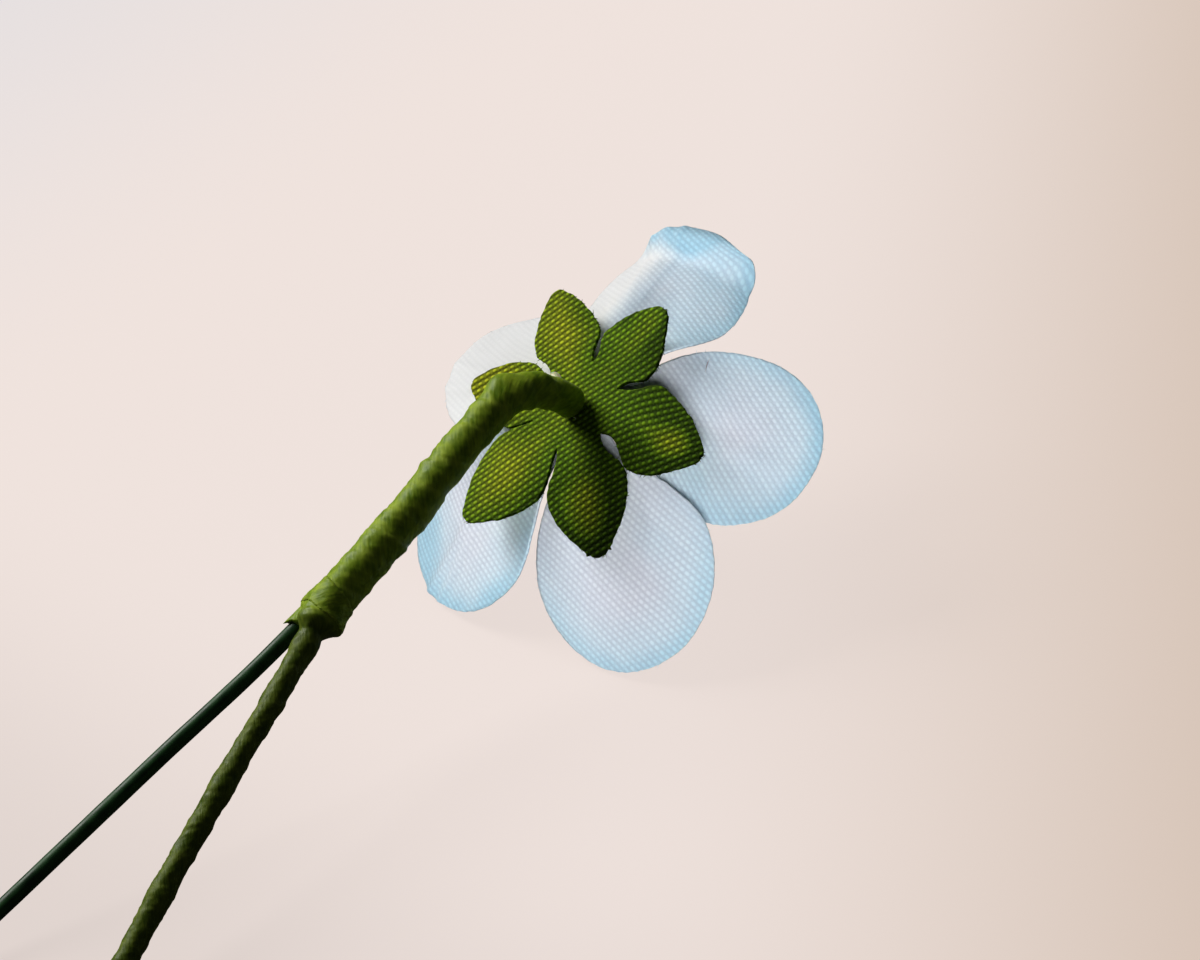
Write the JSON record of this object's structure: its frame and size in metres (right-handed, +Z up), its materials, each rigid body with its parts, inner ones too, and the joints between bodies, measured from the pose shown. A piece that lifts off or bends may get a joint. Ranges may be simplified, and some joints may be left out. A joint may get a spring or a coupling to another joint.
{
  "type": "fabric speedwell boutonniere",
  "caption": "Artificial speedwell buttonhole flower: pale blue cloth petals, green cloth calyx and a tape-bound wire stem that forks into two legs.",
  "frame": {"origin": "middle of the bounding box's bottom, on the surface the flower lies on", "axes": "+Z up from that surface, +X along the longer horizontal side, from the wire legs towards the flower, +Y away from the viewer of the picture"},
  "size_m": [0.071, 0.0679, 0.0215],
  "materials": {
    "petal_cloth": "plain woven polyester, blue at the rims",
    "calyx_cloth": "coarse plain weave",
    "florist_tape": "waxed crepe paper",
    "green_coated_wire": "smooth dark green coating",
    "steel_wire": "bare cut wire",
    "pip_resin": "pale yellow bead"
  },
  "bodies": {
    "root": {"corolla": "petal_cloth", "calyx": "calyx_cloth", "binding_tape": "florist_tape", "leg_wire": "green_coated_wire", "flower_wire": "steel_wire", "centre_pip": "pip_resin"}
  },
  "joints": []
}
